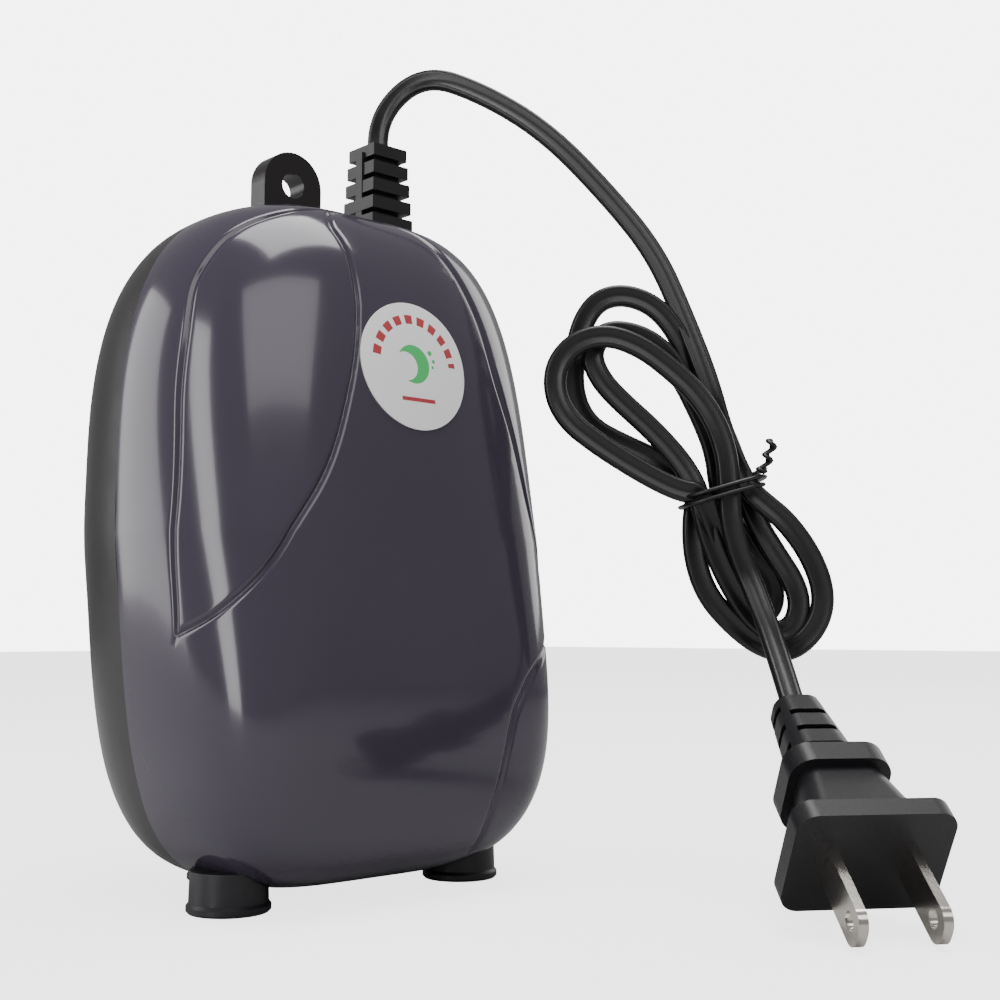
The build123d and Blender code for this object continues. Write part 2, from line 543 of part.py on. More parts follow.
with BuildPart() as chamber_cover:
    with Locations(alongX(coverX, mechY, pumpAxisZ)):
        Cylinder(chamberRadius, coverEndX - coverX, align=(Align.CENTER, Align.CENTER, Align.MIN))
        Cylinder(10.8, coverEndX - coverX - 2.0, align=(Align.CENTER, Align.CENTER, Align.MIN),
                 mode=Mode.SUBTRACT)
    with Locations(((coverX + coverEndX - 1) / 2, mechY, pumpAxisZ)):
        Box(coverEndX - 1 - coverX, 1.8, 22.0)
    with Locations(alongX(coverEndX - 1, nozzleY, pumpAxisZ)):
        Cylinder(nozzleDiameter / 2 + 0.5, spigotStartX - coverEndX + 1,
                 align=(Align.CENTER, Align.CENTER, Align.MIN))
    with Locations(alongX(spigotStartX, nozzleY, pumpAxisZ)):
        Cylinder(nozzleDiameter / 2, spigotLength, align=(Align.CENTER, Align.CENTER, Align.MIN))
    with Locations(alongX(spigotStartX + spigotLength, nozzleY, pumpAxisZ)):
        Cone(nozzleDiameter / 2, nozzleDiameter / 2 - 0.5, 1.0, align=(Align.CENTER, Align.CENTER, Align.MIN))
    with Locations(alongX(coverX + 2.5, nozzleY, pumpAxisZ)):
        Cylinder(1.4, 30, align=(Align.CENTER, Align.CENTER, Align.MIN), mode=Mode.SUBTRACT)
    with Locations(alongX(coverEndX - 4, mechY - portOffset, pumpAxisZ)):
        Cylinder(1.7, 8, align=(Align.CENTER, Align.CENTER, Align.MIN), mode=Mode.SUBTRACT)
    for y, z in screwSpots:
        with Locations(alongX(coverX - 1, y, z)):
            Cylinder(1.1, 12, align=(Align.CENTER, Align.CENTER, Align.MIN), mode=Mode.SUBTRACT)
chamber_cover.part.label = "chamber_cover"
export_step(chamber_cover.part, "parts/chamber_cover.step")

with BuildPart() as chamber_screws:
    for y, z in screwSpots:
        with Locations(Plane(origin=(coverEndX + 1.3, y, z), x_dir=(0, 1, 0), z_dir=(-1, 0, 0))):
            Cylinder(1.8, 1.3, align=(Align.CENTER, Align.CENTER, Align.MIN))
            Cylinder(0.9, 16.0, align=(Align.CENTER, Align.CENTER, Align.MIN))
            Box(2.6, 0.5, 0.5, align=(Align.CENTER, Align.CENTER, Align.MIN), mode=Mode.SUBTRACT)
chamber_screws.part.label = "chamber_screws"
export_step(chamber_screws.part, "parts/chamber_screws.step")

with BuildPart() as frame_screws:
    for x, z, y in [(x, z, 14.7) for x, z in lugPosts] + [(x, z, 15.3) for x, z in bracketPosts]:
        with Locations(Plane(origin=(x, y - 1.6, z), x_dir=(1, 0, 0), z_dir=(0, 1, 0))):
            Cylinder(2.2, 1.6, align=(Align.CENTER, Align.CENTER, Align.MIN))
            Cylinder(1.2, 9.0, align=(Align.CENTER, Align.CENTER, Align.MIN))
            Box(3.0, 0.6, 0.6, align=(Align.CENTER, Align.CENTER, Align.MIN), mode=Mode.SUBTRACT)
frame_screws.part.label = "frame_screws"
export_step(frame_screws.part, "parts/frame_screws.step")

def bendRadii(route):
    """Arc radii that fit between the runs on each side of every corner."""
    radii = []
    for a, b, c in zip(route, route[1:], route[2:]):
        before = Vector(*b) - Vector(*a)
        after = Vector(*c) - Vector(*b)
        turn = before.get_angle(after) * pi / 180
        radii.append(0.45 * min(before.length, after.length) / tan(turn / 2))
    return radii


# ---- lead wires and their crimps ----
cordStartZ = 107.5
with BuildPart() as lead_wires:
    for dx in (-1.0, 1.0):
        wireRoute = [(reliefX + dx, reliefY, cordStartZ - 0.1), (reliefX + dx, reliefY, 105.5),
                     (14.5 + dx, 16.2, 105.2), (9.2 + 1.4 * dx, 19.0, 102.2), (8.5 + 1.6 * dx, 19.0, 95.3)]
        with BuildLine() as wirePath:
            FilletPolyline(*wireRoute, radius=bendRadii(wireRoute))
        with BuildSketch(Plane(origin=wireRoute[0], x_dir=(1, 0, 0), z_dir=(0, 0, -1))):
            Circle(0.5)
        sweep(path=wirePath.wires()[0])
lead_wires.part.label = "lead_wires"
export_step(lead_wires.part, "parts/lead_wires.step")
with BuildPart() as wire_crimps:
    for dx in (-1.6, 1.6):
        with Locations((8.5 + dx, 19.0, 95.25)):
            Cylinder(1.2, 2.2, align=(Align.CENTER, Align.CENTER, Align.MIN))
            Cylinder(0.75, 2.2, align=(Align.CENTER, Align.CENTER, Align.MIN), mode=Mode.SUBTRACT)
wire_crimps.part.label = "wire_crimps"
export_step(wire_crimps.part, "parts/wire_crimps.step")

# ---- mains cord: a flat twin lead, straight runs joined by tangent arcs ----
cordRoute = [(reliefX, reliefY, cordStartZ), (reliefX, reliefY, 151.5), (25.7, 0.1, 158.0),
             (33.1, -10.2, 152.6), (40.9, -20.3, 143.8), (48.6, -29.8, 130.2), (53.3, -37.4, 118.2),
             (55.4, -42.5, 105.0), (57.2, -46.7, 92.7), (58.6, -48.8, 80.0), (58.1, -48.9, 70.0)]
leadRoute = [(58.5, -50.0, 68.0), (60.1, -54.0, 54.1), (59.2, -59.6, 43.0), (53.9, -67.6, 31.5)]


for name, route, startDir in (("cord", cordRoute, (1, 0, 0)), ("cord_lead", leadRoute, (0.7371, -0.6758, 0))):
    radii = bendRadii(route)
    with BuildPart() as lead:
        with BuildLine() as leadPath:
            FilletPolyline(*route, radius=radii)
        firstRun = Vector(*route[1]) - Vector(*route[0])
        with BuildSketch(Plane(origin=route[0], x_dir=startDir, z_dir=firstRun)):
            SlotOverall(cordWidth, cordThick)
        sweep(path=leadPath.wires()[0])
    pathLength = leadPath.wires()[0].length
    sectionArea = (cordWidth - cordThick) * cordThick + pi * cordThick ** 2 / 4
    print(name, "radii", [round(r, 1) for r in radii], "length", round(pathLength, 1),
          "volume", round(lead.part.volume, 1), "section x length", round(sectionArea * pathLength, 1))
    lead.part.label = name
    export_step(lead.part, "parts/" + name + ".step")

# ---- hank: the tied turns as one solid of their outer shape ----
hankPlane = Plane(origin=(58.1, -48.9, 71.6), x_dir=(0.7371, -0.6758, 0), z_dir=(-0.6758, -0.7371, 0))
hankOutline = [(-7.3, -4.1), (-15.4, 1.5), (-24.7, 7.5), (-31.1, 14.6), (-32.8, 20.5), (-30.4, 28.0),
               (-27.7, 34.5), (-19.5, 38.6), (-11.6, 36.2), (-6.0, 29.9), (-1.3, 20.5), (3.0, 11.2),
               (6.8, 2.4), (11.8, -3.7), (16.9, -10.8), (19.5, -18.7), (17.4, -27.1), (12.0, -31.3),
               (5.2, -29.5), (-1.1, -23.3), (-4.7, -16.8), (-6.6, -9.0)]
hankThick = 9.6
with BuildPart() as cord_hank:
    with BuildSketch(hankPlane.offset(-hankThick / 2)):
        with BuildLine():
            Spline(*hankOutline, periodic=True)
        make_face()
    extrude(amount=hankThick)
cord_hank.part.label = "cord_hank"
export_step(cord_hank.part, "parts/cord_hank.step")

with BuildPart() as twist_tie:
    with Locations(hankPlane):
        Box(18.0, 1.4, hankThick + 2.4)
        Box(15.6, 1.4, hankThick + 0.2, mode=Mode.SUBTRACT)
twist_tie.part.label = "twist_tie"
export_step(twist_tie.part, "parts/twist_tie.step")

# ---- two-blade plug, blade tips on the floor ----
plugAxis = Vector(0.4639, 0.6840, 0.5630)
plugPlane = Plane(origin=(29.8, -103.2, 2.0), x_dir=(0.8276, -0.5613, 0), z_dir=plugAxis)
bladeOut = 15.0
bladeWidth = 6.3
bladeGap = 12.7
faceWidth = 25.2
faceHeight = 19.0
faceThick = 3.6
collarFrom = bladeOut + 15.4
collarThick = 4.2
neckLength = 17.6
with BuildPart() as plug_blades:
    for x in (-bladeGap / 2, bladeGap / 2):
        with BuildSketch(Plane(origin=plugPlane.from_local_coords((x - 0.75, 0, 0)),
                               x_dir=plugPlane.z_dir, z_dir=plugPlane.x_dir)):
            with Locations(((bladeOut + 6) / 2, 0)):
                RectangleRounded(bladeOut + 6, bladeWidth, 2.6)
            with Locations((3.4, 0)):
                Circle(1.5, mode=Mode.SUBTRACT)
        extrude(amount=1.5)
plug_blades.part.label = "plug_blades"
export_step(plug_blades.part, "parts/plug_blades.step")

with BuildPart() as plug_body:
    with BuildSketch(plugPlane.offset(bladeOut)):
        RectangleRounded(faceWidth, faceHeight, 3.2)
    extrude(amount=faceThick)
    with BuildSketch(plugPlane.offset(bladeOut + faceThick)):
        RectangleRounded(18.4, 14.4, 3.0)
    with BuildSketch(plugPlane.offset(collarFrom)):
        RectangleRounded(14.0, 12.0, 3.0)
    loft()
    with BuildSketch(plugPlane.offset(collarFrom)):
        RectangleRounded(17.0, 15.0, 4.0)
    extrude(amount=collarThick)
    with BuildPart(mode=Mode.PRIVATE) as bladeSlots:
        add(plug_blades.part)
    add(bladeSlots.part, mode=Mode.SUBTRACT)
plug_body.part.label = "plug_body"
export_step(plug_body.part, "parts/plug_body.step")

neckFrom = collarFrom + collarThick
with BuildPart() as plug_neck:
    with BuildSketch(plugPlane.offset(neckFrom)):
        RectangleRounded(11.4, 10.2, 3.4)
    with BuildSketch(plugPlane.offset(neckFrom + neckLength)):
        RectangleRounded(8.4, 7.4, 2.8)
    loft()
    for i in range(3):
        for side in (-1, 1):
            with Locations(plugPlane.offset(neckFrom + 3.0 + 4.8 * i)):
                with Locations((0, side * 5.0, 0)):
                    Box(7.4 - 0.6 * i, 5.0, 1.3, mode=Mode.SUBTRACT)
            with Locations(plugPlane.offset(neckFrom + 5.4 + 4.8 * i)):
                with Locations((side * 5.6, 0, 0)):
                    Box(5.0, 5.4, 1.3, mode=Mode.SUBTRACT)
plug_neck.part.label = "plug_neck"
export_step(plug_neck.part, "parts/plug_neck.step")
print("neck end", plugPlane.from_local_coords((0, 0, neckFrom + neckLength)))
print("lowest", min(p.bounding_box().min.Z for p in (plug_blades.part, plug_body.part, cord_hank.part)))
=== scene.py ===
import bpy
import bmesh
import json
import math
import numpy as np
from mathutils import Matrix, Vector, kdtree
from mathutils.geometry import delaunay_2d_cdt


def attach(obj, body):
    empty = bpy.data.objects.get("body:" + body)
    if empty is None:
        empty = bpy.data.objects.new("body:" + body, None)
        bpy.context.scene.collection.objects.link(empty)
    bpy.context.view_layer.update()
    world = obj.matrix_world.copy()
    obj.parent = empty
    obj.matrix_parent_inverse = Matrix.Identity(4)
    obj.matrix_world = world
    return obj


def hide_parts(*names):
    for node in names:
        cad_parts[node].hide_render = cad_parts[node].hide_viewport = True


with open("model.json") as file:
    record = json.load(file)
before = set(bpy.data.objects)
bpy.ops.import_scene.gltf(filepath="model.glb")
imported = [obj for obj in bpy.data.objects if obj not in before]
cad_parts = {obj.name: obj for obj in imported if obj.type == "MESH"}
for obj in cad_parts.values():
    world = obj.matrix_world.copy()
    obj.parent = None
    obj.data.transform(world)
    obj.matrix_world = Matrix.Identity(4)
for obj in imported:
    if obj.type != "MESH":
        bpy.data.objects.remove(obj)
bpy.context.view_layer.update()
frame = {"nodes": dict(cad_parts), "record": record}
mm = 0.001

camera = dict(place=(-0.15275, -0.2174, 0.04515), look=(0.6729, 0.7340, 0.0919), lens=51.5)
camData = bpy.data.cameras.new("camera")
camData.lens = camera["lens"]
camData.sensor_width = 36.0
camData.clip_start = 0.01
camData.clip_end = 20.0
camObject = bpy.data.objects.new("camera", camData)
bpy.context.collection.objects.link(camObject)
camObject.location = camera["place"]
camObject.rotation_euler = Vector(camera["look"]).to_track_quat("-Z", "Y").to_euler()
bpy.context.scene.camera = camObject
print("camera set")


def deselectAll():
    bpy.ops.object.select_all(action="DESELECT")


def newMesh(name, points, faces, smooth=True):
    mesh = bpy.data.meshes.new(name)
    mesh.from_pydata([tuple(p) for p in points], [], [tuple(f) for f in faces])
    mesh.validate()
    mesh.update()
    obj = bpy.data.objects.new(name, mesh)
    bpy.context.collection.objects.link(obj)
    if smooth:
        for polygon in mesh.polygons:
            polygon.use_smooth = True
    return obj


def activate(obj):
    deselectAll()
    obj.select_set(True)
    bpy.context.view_layer.objects.active = obj


def nurbsRoute(name, points):
    data = bpy.data.curves.new(name, "CURVE")
    data.dimensions = "3D"
    data.resolution_u = 10
    spline = data.splines.new("NURBS")
    spline.points.add(len(points) - 1)
    for i, p in enumerate(points):
        spline.points[i].co = (p[0], p[1], p[2], 1.0)
    spline.order_u = 3
    spline.use_endpoint_u = True
    obj = bpy.data.objects.new(name, data)
    bpy.context.collection.objects.link(obj)
    return obj


def curvePoints(obj):
    graph = bpy.context.evaluated_depsgraph_get()
    mesh = bpy.data.meshes.new_from_object(obj.evaluated_get(graph))
    points = [v.co.copy() for v in mesh.vertices]
    bpy.data.meshes.remove(mesh)
    return points


sweepParts = dict(pull=1.2, keep=1.3)


def sweepSection(name, points, section, thin):  # the thin side keeps to one direction
    count = len(points)
    sides = len(section)
    verts = []
    normal = Vector(thin)
    for i, p in enumerate(points):
        ahead = points[min(i + 1, count - 1)]
        behind = points[max(i - 1, 0)]
        tangent = (ahead - behind).normalized()
        want = Vector(thin)
        want = want - tangent * want.dot(tangent)
        carried = normal - tangent * normal.dot(tangent)
        weight = min(1.0, want.length * sweepParts["pull"])
        if want.dot(carried) < 0:
            want = -want
        normal = (carried.normalized() * (sweepParts["keep"] - weight) + want * weight).normalized()
        side = tangent.cross(normal).normalized()
        for a, b in section:
            verts.append(p + side * a + normal * b)
    faces = []
    for i in range(count - 1):
        for j in range(sides):
            k = (j + 1) % sides
            faces.append((i * sides + j, (i + 1) * sides + j, (i + 1) * sides + k, i * sides + k))
    faces.append(tuple(range(sides)))
    faces.append(tuple((count - 1) * sides + j for j in reversed(range(sides))))
    obj = newMesh(name, verts, faces)
    bm = bmesh.new()
    bm.from_mesh(obj.data)
    bmesh.ops.recalc_face_normals(bm, faces=bm.faces)
    bm.to_mesh(obj.data)
    bm.free()
    return obj


cordParts = dict(lobe=1.27, spread=0.86, neck=0.42, sides=28, flatten=3.0, groove=0.33, width=0.0042,
                 thinDir=(0.6758, 0.7371, 0.0))
mainRoute = [(22.5, 11.0, 107.5), (22.5, 11.0, 139.0), (22.5, 11.0, 151.5), (25.7, 0.1, 158.0),
             (33.1, -10.2, 152.6), (40.9, -20.3, 143.8), (48.6, -29.8, 130.2), (53.3, -37.4, 118.2),
             (55.4, -42.5, 105.0), (57.2, -46.7, 92.7), (58.6, -48.8, 82.5)]
leadRoute = [(60.1, -54.0, 54.1), (59.2, -59.6, 43.0), (53.9, -67.6, 31.5)]
tieCentre = Vector((58.1, -48.9, 71.6))
wideDir = Vector((0.7371, -0.6758, 0.0))
depthDir = Vector((-0.6758, -0.7371, 0.0))
# turns of the hank about the tie, in mm: across, up, outward
hankTurns = [
    (4.4, 0.4, 1.2), (7.5, -2.5, 1.6), (11.6, -6.0, 2.0), (15.6, -11.6, 2.0), (18.0, -17.6, 2.0),
    (18.1, -22.8, 1.5), (15.6, -27.4, 1.0), (11.4, -30.2, 0.0), (6.4, -28.8, -1.0), (1.2, -24.4, -1.5),
    (-2.9, -19.4, -1.5), (-5.0, -13.2, -1.5), (-5.4, -6.4, -1.3), (-4.4, 0.0, -1.2), (-7.6, 3.0, -2.0),
    (-12.6, 6.4, -2.5), (-18.8, 9.2, -2.6), (-24.0, 12.0, -2.6), (-26.8, 16.0, -2.6), (-27.8, 21.0, -2.6),
    (-27.2, 27.0, -2.6), (-25.6, 33.0, -2.6), (-22.6, 36.9, -2.6), (-18.0, 38.0, -2.6),
    (-12.6, 36.2, -2.6), (-8.6, 32.0, -2.6), (-5.6, 26.0, -2.6), (-2.6, 18.6, -2.6), (1.4, 10.0, -2.0),
    (4.4, 0.6, -1.3), (6.6, -6.0, -1.2), (10.0, -12.0, -0.4), (13.2, -17.2, 0.2), (14.2, -21.6, 0.4),
    (12.8, -25.6, 0.4), (9.2, -26.8, 0.1), (4.8, -23.4, -0.2), (1.0, -17.2, 0.2), (-2.4, -9.6, 0.8),
    (-4.4, -1.0, 1.3), (-7.0, 4.6, 0.4), (-12.4, 11.0, 0.0), (-19.0, 17.0, 0.0), (-22.6, 21.0, 0.0),
    (-24.4, 25.4, 0.0), (-23.0, 29.0, 0.0), (-19.8, 30.4, 0.0), (-15.0, 29.4, 0.0), (-11.0, 26.8, 0.0),
    (-7.6, 22.0, 0.0), (-3.8, 14.6, -0.6), (-0.8, 7.4, -1.6), (0.0, 0.0, -2.6), (2.6, -6.6, -2.8),
    (6.4, -12.8, -2.8), (9.8, -17.4, -2.8), (9.8, -21.8, -2.8), (6.8, -24.0, -2.7), (3.6, -21.2, -2.5),
    (1.4, -14.4, -1.6),
    (-2.0, -6.2, 1.6), (-4.4, -1.0, 3.7), (-8.4, -0.4, 3.7), (-13.0, 1.8, 3.6), (-18.4, 5.0, 3.5),
    (-23.8, 8.6, 3.4), (-28.6, 12.4, 3.2), (-31.2, 17.0, 3.0), (-31.4, 22.2, 3.0), (-28.8, 26.4, 3.0),
    (-24.6, 28.6, 3.0), (-19.8, 28.6, 3.0), (-14.4, 26.2, 3.0), (-9.6, 22.4, 3.0), (-5.2, 18.2, 3.2),
    (-1.6, 12.6, 3.6), (0.4, 6.4, 3.8), (0.8, 0.0, 3.9), (1.0, -6.0, 3.6), (2.6, -12.0, 2.6)]


def hankPoint(p):
    return tieCentre + wideDir * p[0] + Vector((0, 0, 1)) * p[1] + depthDir * p[2]


routePoints = [Vector(p) * mm for p in mainRoute]
routePoints += [hankPoint(p) * mm for p in hankTurns]
routePoints += [Vector(p) * mm for p in leadRoute]
cordRoute = nurbsRoute("cordRoute", routePoints)
linePoints = curvePoints(cordRoute)
section = []
for i in range(cordParts["sides"]):
    angle = 2 * math.pi * (i + 0.5) / cordParts["sides"]
    c, s = math.cos(angle), math.sin(angle)
    across = (cordParts["spread"] * math.tanh(cordParts["flatten"] * c) + cordParts["lobe"] * c) * mm
    pinch = 1.0 - (1.0 - cordParts["neck"]) * math.exp(-((c / cordParts["groove"]) ** 2))
    section.append((across, cordParts["lobe"] * s * pinch * mm))
twinCord = sweepSection("twinCord", linePoints, section, cordParts["thinDir"])
bpy.data.objects.remove(cordRoute, do_unlink=True)
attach(twinCord, "pump")
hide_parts("cord", "cord_hank", "cord_lead")
print("cord built")

coverShape = dict(half=41.0, centre=61.4, top=59.6, bottom=59.0, seam=-2.0, depth=30.4, lean=0.06, taper=0.12,
                  wall=2.2, spanX=62.0, spanZ=80.0, grid=1.3, rimSteps=260)
coverPowers = dict(flatMap=6.5, topOutline=3.4, baseOutline=4.6, baseNarrow=6.5, topNarrow=1.95, top=3.4,
                   base=4.0)
meshParts = dict(rowCell=0.11, rowEdge=0.988, gridEdge=0.984, rowClear=2.1, leastStretch=0.3, probe=0.02,
                 innerRings=27, skinGap=0.0008, skinTurn=0.6, sharpAngle=50)


def powerScale(logU, power):
    return (-np.expm1(power * logU)) ** (1 / power)


def coverPoint(flat, inset=0.0):  # flat map of the cover, in mm, to its surface
    a = flat[..., 0] / coverShape["spanX"]
    b = flat[..., 1] / coverShape["spanZ"]
    reachFlat = np.maximum(np.hypot(a, b), 1e-6)
    c = a / reachFlat
    s = b / reachFlat
    steep = np.tan(np.minimum(reachFlat, 1 - 1e-9) * math.pi / 2)
    logU = -np.log1p(steep ** coverPowers["flatMap"]) / coverPowers["flatMap"]
    u = np.exp(logU)
    power = np.where(s > 0, coverPowers["topOutline"], coverPowers["baseOutline"])
    reach = (np.abs(c) ** power + np.abs(s) ** power) ** (-1 / power)
    ux = reach * c
    uz = reach * s
    k = (uz + 1) / 2
    narrow = powerScale(logU, coverPowers["baseNarrow"]) * (1 - k)
    narrow = narrow + powerScale(logU, coverPowers["topNarrow"]) * k
    x = (coverShape["half"] - inset) * ux * (1 + coverShape["taper"] * np.minimum(uz, 0)) * narrow
    upper = (coverShape["top"] - inset) * powerScale(logU, coverPowers["top"])
    lower = (coverShape["bottom"] - inset) * powerScale(logU, coverPowers["base"])
    z = uz * np.where(s > 0, upper, lower)
    y = coverShape["seam"] - u * (coverShape["depth"] - inset - coverShape["lean"] * z)
    return np.stack([x, y, coverShape["centre"] + z], -1)


def coverNormal(flat, surface):
    step = meshParts["probe"]
    alongA = surface(flat + [step, 0]) - surface(flat - [step, 0])
    alongB = surface(flat + [0, step]) - surface(flat - [0, step])
    normal = np.cross(alongA, alongB)
    normal /= np.maximum(np.linalg.norm(normal, axis=-1, keepdims=True), 1e-12)
    outward = surface(flat) - np.array([0, -8, coverShape["centre"]])
    return normal * np.where(np.sum(normal * outward, -1, keepdims=True) < 0, -1, 1)


def flatOf(point):  # place on the flat map that is nearest to a point in space
    best = None
    rs, ts = np.meshgrid(np.linspace(0.01, 0.999, 200), np.linspace(0, 2 * math.pi, 721))
    for _ in range(3):
        grid = np.stack([coverShape["spanX"] * rs * np.cos(ts), coverShape["spanZ"] * rs * np.sin(ts)], -1)
        gap = np.linalg.norm(coverPoint(grid) - np.array(point), axis=-1)
        at = np.unravel_index(np.argmin(gap), gap.shape)
        best = grid[at]
        spanR = (rs.max() - rs.min()) / 60
        spanT = (ts.max() - ts.min()) / 200
        rs, ts = np.meshgrid(np.linspace(max(rs[at] - spanR, 0.002), min(rs[at] + spanR, 0.9995), 41),
                             np.linspace(ts[at] - spanT, ts[at] + spanT, 41))
    return best


def smoothLine(points, step):  # dense Catmull-Rom line through the points
    pts = [np.array(p, float) for p in points]
    pts = [2 * pts[0] - pts[1]] + pts + [2 * pts[-1] - pts[-2]]
    out = []
    for a, b, c, d in zip(pts, pts[1:], pts[2:], pts[3:]):
        count = max(2, int(np.linalg.norm(c - b) / step))
        for i in range(count):
            t = i / count
            out.append(0.5 * (2 * b + (c - a) * t + (2 * a - 5 * b + 4 * c - d) * t ** 2
                              + (3 * b - a - 3 * c + d) * t ** 3))
    out.append(pts[-2])
    return np.array(out)


# moulded lines of the cover: points in mm, then depth and half width
leafLines = [
    ([(-3.5, -14.6, 119.8), (-8.5, -15.4, 119.2), (-14.1, -16.2, 117.9), (-18.5, -16.4, 116.4),
      (-22.0, -16.1, 115.0), (-25.8, -15.3, 113.0), (-29.3, -14.5, 109.9), (-32.3, -14.0, 105.6),
      (-34.2, -13.8, 101.4), (-35.8, -14.7, 93.9), (-37.3, -15.5, 82.2), (-38.1, -16.4, 66.0),
      (-38.2, -16.3, 56.5), (-37.4, -16.7, 44.7)], 0.5, 0.5),
    ([(-3.5, -14.6, 119.8), (-9.6, -17.4, 118.2), (-11.7, -20.6, 115.0), (-11.1, -23.3, 111.2),
      (-10.7, -25.1, 107.6), (-11.0, -27.3, 100.6), (-11.7, -28.3, 95.2), (-15.2, -29.9, 81.2),
      (-22.3, -30.4, 66.0), (-29.1, -28.9, 55.4), (-34.5, -24.1, 48.5), (-37.4, -16.7, 44.7)], 0.55, 0.45),
    ([(3.5, -14.6, 119.8), (8.5, -15.4, 119.2), (14.1, -16.2, 117.9), (18.5, -16.4, 116.4),
      (22.0, -16.1, 115.0), (25.8, -15.3, 113.0), (29.3, -14.5, 109.9), (32.3, -14.0, 105.6),
      (34.2, -13.8, 101.4), (35.8, -14.7, 93.9), (37.3, -15.5, 82.2), (38.1, -16.4, 66.0),
      (38.2, -16.3, 56.5), (37.4, -16.7, 44.7)], 0.5, 0.5),
    ([(3.5, -14.6, 119.8), (8.4, -17.4, 117.6), (12.4, -21.2, 112.8), (15.6, -24.0, 107.0),
      (18.4, -25.6, 100.4), (20.9, -26.9, 90.9), (25.5, -27.3, 78.6), (30.6, -26.9, 62.7),
      (35.2, -23.0, 49.0), (37.4, -16.7, 44.7)], 0.5, 0.75),
    ([(37.4, -16.7, 44.7), (33.6, -26.0, 43.6), (30.0, -29.7, 42.0), (23.8, -32.9, 37.6),
      (20.7, -33.4, 33.3), (18.8, -33.4, 28.8), (16.9, -32.3, 18.9), (16.1, -30.7, 13.6),
      (15.7, -26.7, 7.6)], 0.45, 0.6)]
rowGaps = (0, 0.14, 0.3, 0.5, 0.75, 1.1, 1.6)

lineTrees = []
flatLines = []
for controls, depth, halfWide in leafLines:
    flatLine = smoothLine([flatOf(p) for p in controls], 0.45)
    fine = coverPoint(smoothLine([flatOf(p) for p in controls], 0.04))
    tree = kdtree.KDTree(len(fine))
    for i, p in enumerate(fine):
        tree.insert(p, i)
    tree.balance()
    lineTrees.append((tree, depth, halfWide))
    flatLines.append(flatLine)


def nearestLine(points):
    return np.array([min(tree.find(p)[2] for tree, depth, halfWide in lineTrees) for p in points])


def mouldedPoint(flat):
    base = coverPoint(flat)
    normal = coverNormal(flat, coverPoint)
    drop = np.zeros(len(base))
    for tree, depth, halfWide in lineTrees:
        gap = np.array([tree.find(p)[2] for p in base])
        drop = np.minimum(drop, -depth * np.exp(-((gap / halfWide) ** 2)))
    return base + normal * drop[:, None]


def edgeReach(flat):  # 1 at the rim of the flat map
    return np.hypot(flat[..., 0] / coverShape["spanX"], flat[..., 1] / coverShape["spanZ"])


def buildCover():
    steps = coverShape["rimSteps"]
    turns = 2 * math.pi * np.arange(steps) / steps
    rim = np.stack([coverShape["spanX"] * np.cos(turns), coverShape["spanZ"] * np.sin(turns)], -1)
    picked = {}

    def pick(p, cell):
        key = (round(p[0] / cell), round(p[1] / cell))
        if key not in picked and edgeReach(p) < meshParts["rowEdge"]:
            picked[key] = p

    for line in flatLines:
        ahead = np.gradient(line, axis=0)
        ahead /= np.linalg.norm(ahead, axis=1, keepdims=True)
        across = np.stack([-ahead[:, 1], ahead[:, 0]], -1)
        probe = meshParts["probe"]
        stretch = np.linalg.norm(coverPoint(line + across * probe) - coverPoint(line), axis=1) / probe
        stretch = np.maximum(stretch, meshParts["leastStretch"])
        for gap in rowGaps:
            for side in ((1, -1) if gap else (1,)):
                for p in line + across * (side * gap / stretch)[:, None]:
                    pick(p, meshParts["rowCell"])
    rowCount = len(picked)
    cell = coverShape["grid"]
    grid = []
    for j in range(int(-coverShape["spanZ"] / cell) - 1, int(coverShape["spanZ"] / cell) + 2):
        for i in range(int(-coverShape["spanX"] / cell) - 1, int(coverShape["spanX"] / cell) + 2):
            grid.append(((i + 0.5 * (j % 2)) * cell, j * cell * 0.866))
    grid = np.array(grid)
    grid = grid[edgeReach(grid) < meshParts["gridEdge"]]
    grid = grid[nearestLine(coverPoint(grid)) > meshParts["rowClear"]]
    flat = np.concatenate([rim, np.array(list(picked.values())), grid])
    edges = [(i, (i + 1) % steps) for i in range(steps)]
    verts, _, faces, _, _, _ = delaunay_2d_cdt([Vector(p) for p in flat], edges, [], 0, 1e-5)
    flat = np.array([tuple(v) for v in verts])
    outer = mouldedPoint(flat)
    normals = coverNormal(flat, mouldedPoint)
    faces = [tuple(f) for f in faces]
    a, b, c = (outer[faces[0][i]] for i in range(3))
    if np.dot(np.cross(b - a, c - a), normals[faces[0][0]]) < 0:
        faces = [f[::-1] for f in faces]
    points = [p for p in outer]
    rings = np.linspace(1, 0, meshParts["innerRings"])[:-1]
    start = len(points)
    for r in rings:
        points.extend(coverPoint(rim * r, coverShape["wall"]))
    points.append(coverPoint(np.array([[0.0, 0.0]]), coverShape["wall"])[0])
    for level in range(len(rings) - 1):
        for i in range(steps):
            j = (i + 1) % steps
            low = start + level * steps
            faces.append((low + j, low + i, low + steps + i, low + steps + j)[::-1])
    low = start + (len(rings) - 1) * steps
    for i in range(steps):
        faces.append((low + i, low + (i + 1) % steps, len(points) - 1)[::-1])
    for i in range(steps):
        faces.append((i, (i + 1) % steps, start + (i + 1) % steps, start + i))
    obj = newMesh("frontCover", [Vector(p) * mm for p in points], faces)
    bm = bmesh.new()
    bm.from_mesh(obj.data)
    bmesh.ops.recalc_face_normals(bm, faces=bm.faces)
    print("cover rows", rowCount, "grid", len(grid), "open edges", sum(e.is_boundary for e in bm.edges))
    bm.to_mesh(obj.data)
    bm.free()
    return obj, outer, normals


